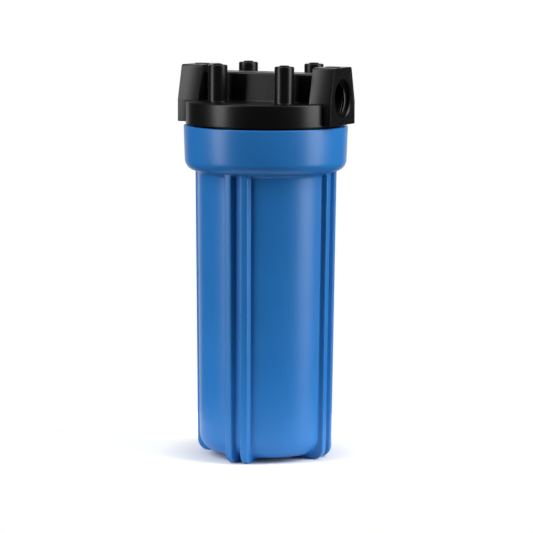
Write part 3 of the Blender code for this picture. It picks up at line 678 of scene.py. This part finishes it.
# ---------------------------------------------------------------- head
def head_section(sizes):
    half_wall, half_knife = 2.0 * MM, 0.6 * MM
    knife = CARTRIDGE_TOP + ORING_GAP
    return rounded([
        (CHANNEL, RING_TOP, 0), (CHANNEL, ROOF + 2.0 * MM, 0),
        (SEAT_RADIUS - half_wall, ROOF - 2.0 * MM, 1.0 * MM),
        (SEAT_RADIUS - half_wall, knife + 4.5 * MM, 0), (SEAT_RADIUS - half_knife, knife, 0.2 * MM),
        (SEAT_RADIUS + half_knife, knife, 0.2 * MM), (SEAT_RADIUS + half_wall, knife + 4.5 * MM, 0),
        (SEAT_RADIUS + half_wall, ROOF, 1.5 * MM), (SKIRT_BORE, ROOF, 4.0 * MM),
        (SKIRT_BORE, SKIRT_BOTTOM, 0.5 * MM), (THREAD_ROOT, SKIRT_BOTTOM, 0.8 * MM),
        (THREAD_ROOT, RING_BOTTOM, 0.5 * MM), (RING_RADIUS, RING_BOTTOM, 0.8 * MM),
        (RING_RADIUS, RING_TOP, sizes.ring_edge)], 6)


def boss(sizes, side):
    """A port boss: upright sides below, leaning flanks above, rounded at its port face."""
    right = [(BOSS_HALF, RING_BOTTOM + 0.9 * MM, 0.8 * MM), (BOSS_HALF, RING_TOP + 0.5 * MM, 0.4 * MM),
             (BOSS_TOP_HALF, BOSS_TOP, sizes.boss_edge)]
    section = rounded(right + [(-y, z, r) for y, z, r in reversed(right)], 6)
    bm = prism(section, "X", side * (PORT_FACE - BOSS_LENGTH), side * PORT_FACE)
    for end in (PORT_FACE, PORT_FACE - BOSS_LENGTH):
        plane = side * end
        soften(bm, lambda edge: all(abs(v.co.x - plane) < 1e-6 for v in edge.verts), 0.8 * MM)
    return closed(bm)


def centre_box(sizes):
    """The raised box along the waterway, flared where it leaves the plate."""
    fillet = sizes.root_fillet
    level = RING_TOP - 0.1 * MM
    right = [(BOX_HALF + 3 * fillet, RING_TOP - SINK, 0), (BOX_HALF + 3 * fillet, level, 0),
             (BOX_HALF, level, fillet), (BOX_TOP_HALF, BOX_TOP, 1.5 * MM)]
    section = rounded(right + [(-y, z, r) for y, z, r in reversed(right)], 6)
    reach = PORT_FACE - BOSS_LENGTH + SINK
    return prism(section, "X", -reach, reach)


def post(sizes):
    """A bracket post with its blind screw hole and the raised rim round the hole."""
    fillet, hole = sizes.root_fillet, POST_RIM_TOP - SCREW_DEPTH
    level = RING_TOP - 0.1 * MM
    return turned(rounded([
        (0, RING_TOP - SINK, 0), (POST_RADIUS + 2 * fillet, RING_TOP - SINK, 0),
        (POST_RADIUS + 2 * fillet, level, 0), (POST_RADIUS, level, fillet),
        (POST_RADIUS, POST_TOP, sizes.post_edge), (POST_RIM_RADIUS, POST_TOP, 0.3 * MM),
        (POST_RIM_RADIUS - 0.8 * MM, POST_RIM_TOP, 0.2 * MM), (SCREW_RADIUS, POST_RIM_TOP, 0.2 * MM),
        (SCREW_RADIUS, hole, 0), (0, hole, 0)], 5), 64)


def flow_arrow(side):
    """A raised arrow on top of a boss, pointing the way the water goes."""
    tail = side * (PORT_FACE - BOSS_LENGTH / 2) + 6.0 * MM
    neck, tip, half, shaft = tail - 6.6 * MM, tail - 12.0 * MM, 4.5 * MM, 2.0 * MM
    outline = rounded([(tail, -shaft, 0.4 * MM), (tail, shaft, 0.4 * MM), (neck, shaft, 0),
                       (neck, half, 0.4 * MM), (tip, 0, 0.5 * MM), (neck, -half, 0.4 * MM),
                       (neck, -shaft, 0)], 3)
    top = BOSS_TOP + 0.6 * MM
    bm = prism(outline, "Z", BOSS_TOP - 1.0 * MM, top)
    return soften(bm, lambda edge: all(abs(v.co.z - top) < 1e-6 for v in edge.verts), 0.2 * MM, 2)


def waterway(length):
    """Mouth, tapered thread bore and channel in one, made about Z from the port face down."""
    mouth = PORT_MOUTH - 1.0 * MM
    return turned([(0, 1.0 * MM), (PORT_MOUTH, 1.0 * MM), (PORT_MOUTH, 0), (mouth, -1.0 * MM),
                   (mouth, -PORT_MOUTH_DEPTH), (PORT_RADIUS, -PORT_MOUTH_DEPTH),
                   (PORT_RADIUS - PORT_TAPER * PORT_DEPTH, -PORT_DEPTH), (CHANNEL, -PORT_DEPTH),
                   (CHANNEL, -length), (0, -length)], 72)


class HOUSING_OT_head(Operator):
    """Build the head with its port bosses, centre box and bracket posts"""
    bl_idname = "housing.head"
    bl_label = "Build Head"

    def execute(self, context):
        sizes = context.scene.housing_sizes
        head = add_object("head_cap", turned(head_section(sizes), sizes.sides))
        raised = [centre_box(sizes)]
        for side in (1, -1):
            raised += [boss(sizes, side), flow_arrow(side)]
            raised += [move(post(sizes), side * POST_X, y) for y in (POST_Y, -POST_Y)]
        combine(head, "UNION", raised)
        ends = {1: INLET_DROP_OFFSET - INLET_DROP, -1: -CHANNEL}
        cuts = [move(lay_along_x(waterway(PORT_FACE - ends[side]), side), side * PORT_FACE, 0, PORT_AXIS)
                for side in (1, -1)]
        cuts.append(move(rod(INLET_DROP, ROOF - 2.0 * MM, PORT_AXIS, 48), INLET_DROP_OFFSET))
        cuts.append(rod(CHANNEL * 0.94, ROOF - 1.0 * MM, PORT_AXIS, 48))
        combine(head, "DIFFERENCE", cuts)
        seat = PORT_AXIS + CHANNEL - SEAT_DROP
        combine(head, "UNION", [rod(POCKET_RADIUS, seat, PORT_AXIS + CHANNEL + 1.0 * MM, 48)])
        mouth = POCKET_RADIUS + 0.5 * MM
        pocket = turned(rounded([
            (0, POCKET_FLOOR, 0), (POCKET_RADIUS, POCKET_FLOOR, 0.3 * MM),
            (POCKET_RADIUS, BOX_TOP - 0.4 * MM, 0), (mouth, BOX_TOP + 0.1 * MM, 0),
            (mouth, BOX_TOP + 1.0 * MM, 0), (0, BOX_TOP + 1.0 * MM, 0)], 3), 64)
        hole = rod(STEM_RADIUS + 0.5 * MM, seat - 1.0 * MM, POCKET_FLOOR + 1.0 * MM, 32)
        combine(head, "DIFFERENCE", [pocket, hole])
        finish(head, "head", "head", black_plastic(), 30)
        return {"FINISHED"}


class HOUSING_OT_head_threads(Operator):
    """Build the head's outer thread and the pipe threads in its ports"""
    bl_idname = "housing.head_threads"
    bl_label = "Build Head Threads"

    def execute(self, context):
        black = black_plastic()
        ridge = screw_ridge(THREAD_ROOT, HEAD_THREAD_HEIGHT, HEAD_THREAD_START, THREAD_PITCH,
                            THREAD_TURNS, THREAD_BASE, THREAD_CREST)
        finish(add_object("head_thread", ridge), None, "head", black)
        per_turn, run_out = 40, 12
        steps = int(PORT_THREAD_TURNS * per_turn)

        def section(step):
            angle = 2 * math.pi * step / per_turn
            depth = PORT_MOUTH_DEPTH + 1.2 * MM + PORT_THREAD_PITCH * step / per_turn
            root = PORT_RADIUS - PORT_TAPER * depth + 0.4 * MM
            grown = max(0.1, min(1.0, step / run_out, (steps - step) / run_out))
            tip = root - 0.3 * MM - PORT_THREAD_HEIGHT * grown
            ring = ((root, -0.80 * MM), (tip, -0.15 * MM), (tip, 0.15 * MM), (root, 0.80 * MM))
            return [helix_point(radius, angle, across - depth) for radius, across in ring]

        for side, name in ((1, "inlet_port_thread"), (-1, "outlet_port_thread")):
            bm = move(lay_along_x(swept(steps, section), side), side * PORT_FACE, 0, PORT_AXIS)
            finish(add_object(name, bm), None, "head", black)
        return {"FINISHED"}


# ---------------------------------------------------------------- relief valve
class HOUSING_OT_relief_valve(Operator):
    """Build the pressure relief button, its spring, seal and retainer"""
    bl_idname = "housing.relief_valve"
    bl_label = "Build Relief Valve"

    def execute(self, context):
        radius = POCKET_RADIUS - 0.4 * MM
        under, barb = BUTTON_TOP - 2.5 * MM, BARB_BOTTOM + 0.8 * MM
        dish = 0.35 * MM
        button = turned(rounded([
            (0, BUTTON_TOP - dish, 0), (0, BARB_BOTTOM, 0), (STEM_RADIUS, BARB_BOTTOM, 0.3 * MM),
            (STEM_RADIUS + 1.0 * MM, barb, 0.1 * MM), (STEM_RADIUS, barb, 0),
            (STEM_RADIUS, under, 0.3 * MM),
            (radius, under, 0.2 * MM), (radius, BUTTON_TOP, 0.5 * MM),
            (radius - 1.6 * MM, BUTTON_TOP - dish, 0.4 * MM)], 4), 64)
        finish(add_object("relief_button_cap", button), "relief_button", "relief_valve",
               black_plastic())

        wire = 0.25 * MM
        coil = SPRING_HIGH.x - wire
        per_coil, coils, wire_sides = 40, 3.5, 10
        steps = int(per_coil * coils)
        low, high = SPRING_LOW.z + wire, SPRING_HIGH.z - wire

        def section(step):
            angle = 2 * math.pi * step / per_coil
            turns = [2 * math.pi * k / wire_sides for k in range(wire_sides)]
            height = low + (high - low) * step / steps
            return [helix_point(coil + wire * math.cos(t), angle, height + wire * math.sin(t))
                    for t in turns]

        spring = add_object("relief_valve_spring", swept(steps, section))
        finish(spring, "relief_spring", "head", spring_steel())
        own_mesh(spring)

        section_radius = (SEAL_HIGH.z - SEAL_LOW.z) / 2
        centre = (SEAL_HIGH.x - section_radius, (SEAL_HIGH.z + SEAL_LOW.z) / 2)
        seal = turned(arc(centre, section_radius, 0, 345, 23), 64)
        finish(add_object("relief_seal_ring", seal), "relief_seal", "relief_valve",
               seal_rubber())

        bore, rim = STEM_RADIUS + ORING_GAP, 0.25 * MM
        retainer = turned(rounded([
            (bore, RETAINER_LOW.z, 0.1 * MM), (RETAINER_HIGH.x, RETAINER_LOW.z, rim),
            (RETAINER_HIGH.x, RETAINER_HIGH.z, rim), (bore, RETAINER_HIGH.z, 0.1 * MM)], 4), 64)
        finish(add_object("relief_retainer_disc", retainer), "relief_retainer", "relief_valve",
               black_plastic())
        return {"FINISHED"}


# ---------------------------------------------------------------- cartridge
def from_end(end, distance):
    """Height of a point at a distance in from the cartridge's top (1) or bottom (-1)."""
    return CARTRIDGE_TOP - distance if end > 0 else CARTRIDGE_BOTTOM + distance


class HOUSING_OT_cartridge_ends(Operator):
    """Build the cartridge's end caps and gaskets, and the O-ring in the sump's groove"""
    bl_idname = "housing.cartridge_ends"
    bl_label = "Build Cartridge Ends"

    def execute(self, context):
        sides = context.scene.housing_sizes.sides
        bore = CORE_RADIUS - 3.5 * MM
        wall, gasket_bore, thick = 1.4 * MM, bore + 1.3 * MM, 3.0 * MM
        face = thick + ORING_GAP
        floor, rim = face + 3.0 * MM, face + 13.0 * MM
        for name, end in (("top", 1), ("bottom", -1)):
            cap = [(bore, face, 0.3 * MM), (CARTRIDGE_RADIUS, face, 0.8 * MM),
                   (CARTRIDGE_RADIUS, rim, 0.5 * MM), (CARTRIDGE_RADIUS - wall, rim, 0.5 * MM),
                   (CARTRIDGE_RADIUS - wall, floor, 0.3 * MM), (bore + wall, floor, 0.3 * MM),
                   (bore + wall, rim - 2.0 * MM, 0.4 * MM), (bore, rim - 2.0 * MM, 0.4 * MM)]
            section = rounded([(r, from_end(end, d), fillet) for r, d, fillet in cap], 4)
            finish(add_object(f"{name}_end_cap_shell", turned(section, sides)), f"{name}_end_cap",
                   "cartridge", white_plastic())
            ring = [(gasket_bore, 0, 0.4 * MM), (GASKET_RADIUS, 0, 0.4 * MM),
                    (GASKET_RADIUS, thick, 0.4 * MM), (gasket_bore, thick, 0.4 * MM)]
            section = rounded([(r, from_end(end, d), fillet) for r, d, fillet in ring], 4)
            finish(add_object(f"{name}_gasket_ring", turned(section, sides)), f"{name}_gasket",
                   "cartridge", seal_rubber())
        radius = ORING_SECTION / 2
        section = arc((ORING_HIGH.x - radius, GROOVE_FLOOR + ORING_GAP + radius), radius, 0, 345, 23)
        finish(add_object("sump_oring_seal", turned(section, sides)), "sump_oring", "cartridge",
               seal_rubber())
        return {"FINISHED"}


def shell_grid(columns, rows, radius, thickness, keep):
    """A thin tube of grid cells about Z, open where keep(column, row) is False."""
    def place(column, row):
        angle = 2 * math.pi * (column % columns) / columns
        return helix_point(radius, angle, MEDIA_BOTTOM + (MEDIA_TOP - MEDIA_BOTTOM) * row / rows)

    bm = rolled(columns, rows, place)
    bmesh.ops.remove_doubles(bm, verts=bm.verts, dist=1e-6)
    bm.normal_update()
    for face in bm.faces:
        middle = face.calc_center_median()
        if face.normal.dot(Vector((middle.x, middle.y, 0))) < 0:
            face.normal_flip()
    holes = []
    for face in bm.faces:
        middle = face.calc_center_median()
        column = int(math.degrees(math.atan2(middle.y, middle.x)) % 360 * columns / 360)
        row = int((middle.z - MEDIA_BOTTOM) / (MEDIA_TOP - MEDIA_BOTTOM) * rows)
        if not keep(column, row):
            holes.append(face)
    bmesh.ops.delete(bm, geom=holes, context="FACES")
    bmesh.ops.solidify(bm, geom=bm.faces[:], thickness=thickness)
    return bm


class HOUSING_OT_cartridge_body(Operator):
    """Build the cartridge's slotted core, pleated media and outer net"""
    bl_idname = "housing.cartridge_body"
    bl_label = "Build Cartridge Body"

    def execute(self, context):
        def core_wall(column, row):
            return column % 8 not in (3, 4) or row % 8 in (0, 7) or row in range(4) or row > 35

        core = shell_grid(32, 40, CORE_RADIUS, 1.8 * MM, core_wall)
        finish(add_object("cartridge_core_tube", core), "cartridge_core", "cartridge",
               white_plastic())

        pleats, per_pleat, shell = 36, 10, 1.6 * MM
        fold_in = CORE_RADIUS + ORING_GAP + shell

        def place(column, row):
            angle = 2 * math.pi * column / (pleats * per_pleat)
            wave = math.asin(0.97 * math.cos(pleats * angle)) / math.asin(0.97)
            radius = fold_in + (FOLD_OUT - fold_in) * (wave + 1) / 2
            height = MEDIA_BOTTOM if row % 4 in (0, 3) else MEDIA_TOP
            return helix_point(radius - (shell if row % 4 > 1 else 0), angle, height)

        media = closed(rolled(pleats * per_pleat, 4, place))
        finish(add_object("cartridge_pleats", media), "pleated_media", "cartridge",
               filter_cloth(), 60)

        across, along = 48, 60
        net = rolled(across, along, lambda column, row: helix_point(
            NET_RADIUS, 2 * math.pi * (column % across) / across,
            MEDIA_BOTTOM + (MEDIA_TOP - MEDIA_BOTTOM) * row / along))
        bmesh.ops.remove_doubles(net, verts=net.verts, dist=1e-6)
        bmesh.ops.recalc_face_normals(net, faces=net.faces)
        cells = net.faces[:]
        bmesh.ops.inset_individual(net, faces=cells, thickness=0.55 * MM, use_even_offset=True)
        bmesh.ops.delete(net, geom=cells, context="FACES")
        strands = add_object("cartridge_net_mesh", net)
        solid = strands.modifiers.new("thickness", "SOLIDIFY")
        solid.thickness = 0.7 * MM
        solid.offset = -1.0
        settle(strands)
        finish(strands, "cartridge_net", "cartridge", white_plastic())
        return {"FINISHED"}


# ---------------------------------------------------------------- studio
CAMERA_TURN = math.radians(26.017)    # from straight ahead of the housing, towards its inlet
CAMERA_DISTANCE = 2.1791
CAMERA_HEIGHT = 0.4209
CAMERA_PITCH = math.radians(7.072)
CAMERA_ROLL = math.radians(0.29)
CAMERA_YAW = math.radians(-0.029)
FLOOR_RADIUS = 0.19           # hides the feet when the sump hangs at its lowest
GLOW = 0.40                   # strength of the floor's glow
PAINTED_SHADOW_REACH = 0.042            # reach of the painted contact shadow: from the middle of the floor to where its glow begins
PAINTED_SHADOW_FADE_RATE = 22.0              # how fast the glow grows from there, per metre: the soft edge of the painted shadow
AIM_HEIGHT = 0.16             # height on the housing that the lights point at
SIDE_DISTANCE, SIDE_HEIGHT, SIDE_LENGTH = 1.2, 0.75, 2.0
LEFT_TURN, LEFT_WIDTH = -68, 0.47     # degrees from the camera's side, and metres
RIGHT_TURN, RIGHT_WIDTH = 73, 0.73
TOP_HEIGHT, TOP_SIZE = 2.2, 2.4
BRIGHT_FROM = 0.80            # cosine from straight behind where the bright part begins
BRIGHT_RISE = 10.0
BRIGHT, DIM = 0.95, 0.035     # strength of the bright part, and of the rest of the room


def studio_point(turn, distance, height):
    """A point at an angle from the camera's side of the housing; positive is to the right."""
    angle = CAMERA_TURN + math.radians(turn)
    return Vector((distance * math.sin(angle), -distance * math.cos(angle), height))


def add_light(name, place, aim, width, height, power):
    light = bpy.data.lights.new(name, "AREA")
    light.shape = "RECTANGLE"
    light.size, light.size_y, light.energy = width, height, power
    obj = bpy.data.objects.new(name, light)
    bpy.context.scene.collection.objects.link(obj)
    obj.location = place
    obj.rotation_euler = (aim - place).to_track_quat("-Z", "Y").to_euler()
    return obj


def add_world():
    """A dim room that is bright behind the housing, and white to the camera."""
    world = bpy.data.worlds.new("studio")
    world.use_nodes = True
    bpy.context.scene.world = world
    tree = world.node_tree
    wire = Wire(tree)
    behind = studio_point(180, 1.0, 0.0)
    look = wire.node("ShaderNodeTexCoord", {}, {}, "Generated")
    along = wire.node("ShaderNodeVectorMath", {"operation": "DOT_PRODUCT"},
                      {0: look, 1: behind}, "Value")
    lobe = ((along - BRIGHT_FROM) * BRIGHT_RISE).clipped()
    room = lobe * BRIGHT + DIM
    seen = wire.node("ShaderNodeLightPath", {}, {}, "Is Camera Ray")
    strength = seen * 1.0 + (1 - seen) * room
    tree.links.new(strength.socket, tree.nodes["Background"].inputs["Strength"])
    tree.nodes["Background"].inputs["Color"].default_value = (1, 1, 1, 1)


def floor_with_painted_shadow():
    """A white floor whose glow fades out under the housing, painting the housing's contact shadow there.
    """
    def build(wire):
        place = wire.node("ShaderNodeTexCoord", {}, {}, "Object")
        reach = wire.node("ShaderNodeVectorMath", {"operation": "LENGTH"}, {0: place}, "Value")
        # no glow under the housing, rising outwards: a painted shadow, not one cast by the lights
        glow_past_painted_shadow = ((reach - PAINTED_SHADOW_REACH) * PAINTED_SHADOW_FADE_RATE).clipped()
        return {"Base Color": wire.noise(3.0).blend((0.90, 0.90, 0.90, 1), (0.92, 0.92, 0.92, 1)),
                "Emission Color": glow_past_painted_shadow.blend((0, 0, 0, 1), (1, 1, 1, 1))}
    return surface("floor with painted shadow", {"Roughness": 0.9, "Specular IOR Level": 0.1,
                                  "Emission Strength": GLOW}, build)


class HOUSING_OT_stage(Operator):
    """Build the floor, lights, world and camera"""
    bl_idname = "housing.stage"
    bl_label = "Build Stage"

    def execute(self, context):
        studio = context.scene.housing_studio
        bm = bmesh.new()
        bmesh.ops.create_circle(bm, cap_ends=True, segments=96, radius=FLOOR_RADIUS)
        floor = add_object("studio_floor", bm)
        floor.data.materials.append(floor_with_painted_shadow())
        aim = Vector((0, 0, AIM_HEIGHT))
        add_light("left_light", studio_point(LEFT_TURN, SIDE_DISTANCE, SIDE_HEIGHT), aim,
                  LEFT_WIDTH, SIDE_LENGTH, studio.left_power)
        add_light("right_light", studio_point(RIGHT_TURN, SIDE_DISTANCE, SIDE_HEIGHT), aim,
                  RIGHT_WIDTH, SIDE_LENGTH, studio.right_power)
        add_light("top_light", Vector((0, 0, TOP_HEIGHT)), aim, TOP_SIZE, TOP_SIZE,
                  studio.top_power)
        add_world()
        camera = bpy.data.cameras.new("camera")
        camera.lens = studio.lens
        camera.sensor_width = 36.0
        obj = bpy.data.objects.new("camera", camera)
        context.scene.collection.objects.link(obj)
        turn = (Matrix.Rotation(CAMERA_TURN + CAMERA_YAW, 4, "Z")
                @ Matrix.Rotation(math.pi / 2 - CAMERA_PITCH, 4, "X"))
        place = studio_point(0, CAMERA_DISTANCE, CAMERA_HEIGHT)
        obj.matrix_world = Matrix.Translation(place) @ turn @ Matrix.Rotation(CAMERA_ROLL, 4, "Z")
        context.scene.camera = obj
        context.scene.view_settings.view_transform = "Standard"
        return {"FINISHED"}


# ---------------------------------------------------------------- add-on
OPERATORS = (HOUSING_OT_sump, HOUSING_OT_head, HOUSING_OT_head_threads, HOUSING_OT_relief_valve,
             HOUSING_OT_cartridge_ends, HOUSING_OT_cartridge_body, HOUSING_OT_stage)


class HOUSING_PT_panel(Panel):
    """Sizes, colours and steps of the filter housing"""
    bl_idname = "HOUSING_PT_panel"
    bl_label = "Filter Housing"
    bl_space_type = "VIEW_3D"
    bl_region_type = "UI"
    bl_category = "Filter Housing"

    def draw(self, context):
        for settings in GROUPS:
            box = self.layout.box()
            group = getattr(context.scene, settings)
            for name in group.bl_rna.properties.keys():
                if name not in ("rna_type", "name"):
                    box.prop(group, name)
        for operator in OPERATORS:
            self.layout.operator(operator.bl_idname)


GROUPS = {"housing_sizes": HousingSizes, "housing_colours": HousingColours,
          "housing_studio": HousingStudio}


def register():
    for cls in (*GROUPS.values(), *OPERATORS, HOUSING_PT_panel):
        bpy.utils.register_class(cls)
    for name, cls in GROUPS.items():
        setattr(bpy.types.Scene, name, PointerProperty(type=cls))


def unregister():
    for name in GROUPS:
        delattr(bpy.types.Scene, name)
    for cls in reversed((*GROUPS.values(), *OPERATORS, HOUSING_PT_panel)):
        bpy.utils.unregister_class(cls)


def main():
    register()
    bpy.ops.housing.sump()
    bpy.ops.housing.head()
    bpy.ops.housing.head_threads()
    bpy.ops.housing.relief_valve()
    bpy.ops.housing.cartridge_ends()
    bpy.ops.housing.cartridge_body()
    bpy.ops.housing.stage()


if __name__ == "__main__":
    main()
